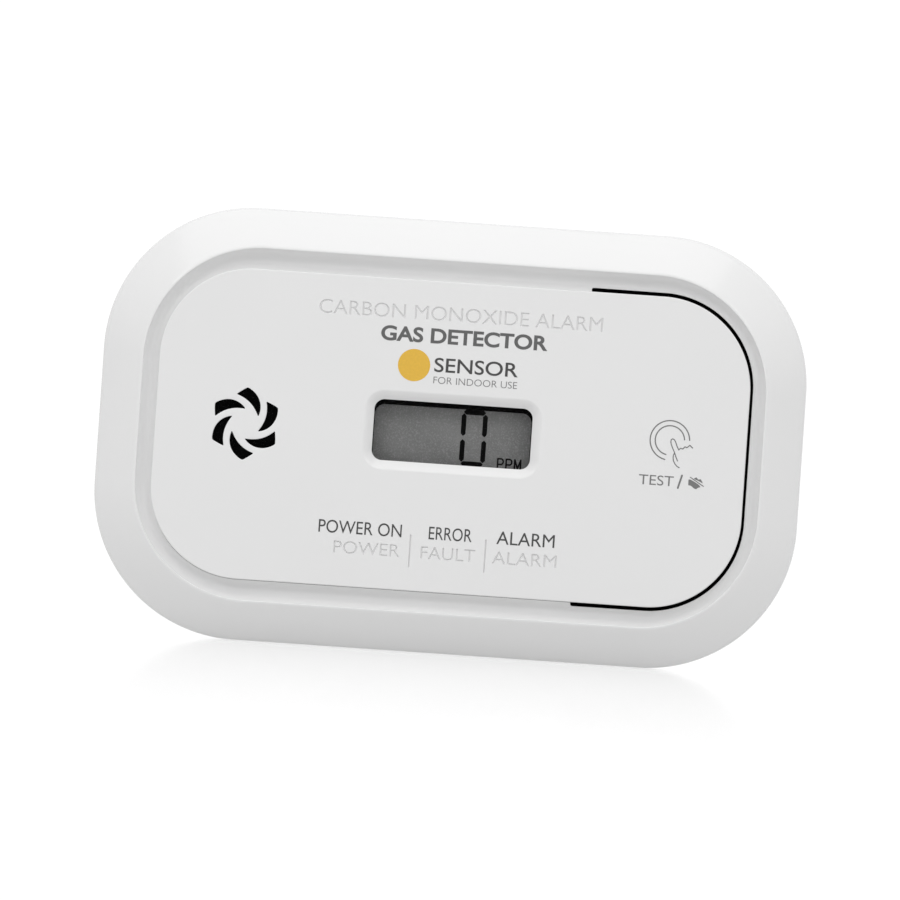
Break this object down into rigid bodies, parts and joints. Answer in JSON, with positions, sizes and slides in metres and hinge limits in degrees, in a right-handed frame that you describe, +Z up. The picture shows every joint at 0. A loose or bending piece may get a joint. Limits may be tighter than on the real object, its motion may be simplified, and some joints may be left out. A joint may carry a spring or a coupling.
{
  "type": "carbon monoxide detector",
  "caption": "Battery-powered household carbon monoxide alarm with a rounded white case, display window, spiral sounder grille and press-to-test panel.",
  "frame": {"origin": "middle of the flat base that the unit stands on, half way between its front and its back", "axes": "+Z up; +X to the right of someone facing the front; the front faces -Y and the wall side faces +Y"},
  "size_m": [0.118, 0.04, 0.0725],
  "materials": {
    "case_white": "gloss",
    "window_clear": "gloss",
    "display_grey": "satin",
    "black_plastic": "matte",
    "board_green": "satin",
    "steel": "satin",
    "brass": "satin",
    "rubber_grey": "matte",
    "sleeve_dark": "satin",
    "cell_body": "satin",
    "label_paper": "matte",
    "wire_red": "satin",
    "lamp_green": "gloss",
    "lamp_amber": "gloss",
    "lamp_red": "gloss"
  },
  "bodies": {
    "housing": {"battery_cell_1": "cell_body", "battery_cell_2": "cell_body", "battery_cell_3": "cell_body", "battery_lead_negative": "black_plastic", "battery_lead_positive": "wire_red", "board_screw_1": "steel", "board_screw_2": "steel", "capacitor": "sleeve_dark", "case_screw_1": "steel", "case_screw_2": "steel", "case_screw_3": "steel", "case_screw_4": "steel", "contact_bridge_left": "steel", "contact_bridge_right": "steel", "contact_negative": "steel", "contact_positive": "steel", "display_connector_strip": "rubber_grey", "display_glass": "display_grey", "display_holder": "black_plastic", "display_window": "window_clear", "front_cover": "case_white", "gas_sensor_body": "sleeve_dark", "gas_sensor_cap": "steel", "gas_sensor_filter": "rubber_grey", "horn_transformer": "black_plastic", "insect_screen": "black_plastic", "lamp_alarm": "lamp_red", "lamp_fault": "lamp_amber", "lamp_light_guide": "black_plastic", "lamp_power": "lamp_green", "main_board": "board_green", "microcontroller": "black_plastic", "piezo_disc": "brass", "rear_cover": "case_white", "sounder_chamber": "black_plastic", "sounder_spring_1": "brass", "sounder_spring_2": "brass", "sounder_support_ring": "rubber_grey", "test_switch_body": "black_plastic"},
    "test_button": {"test_button": "case_white"},
    "switch_plunger": {"test_switch_plunger": "rubber_grey"},
    "battery_door": {"battery_door": "case_white", "door_label": "label_paper"},
    "door_latch": {"battery_door_latch": "case_white"}
  },
  "joints": [
    {"name": "test_press", "type": "hinge", "parent": "housing", "child": "test_button", "pos_m": [0.0219, -0.0186, 0.03625], "axis": [0, 0, 1], "range_deg": [0, 2], "stiffness_Nm_per_rad": 2},
    {"name": "switch_travel", "type": "slide", "parent": "housing", "child": "switch_plunger", "axis": [0, 1, 0], "range_m": [0, 0.0006]},
    {"name": "door_swing", "type": "hinge", "parent": "housing", "child": "battery_door", "pos_m": [0.011, 0.02, 0.0583], "axis": [1, 0, 0], "range_deg": [0, 110]},
    {"name": "latch_slide", "type": "slide", "parent": "battery_door", "child": "door_latch", "axis": [0, 0, 1], "range_m": [0, 0.0012], "stiffness_N_per_m": 800}
  ],
  "couplings": [
    {"joint": "switch_travel", "follows": "test_press", "m_per_rad": 0.0147}
  ]
}
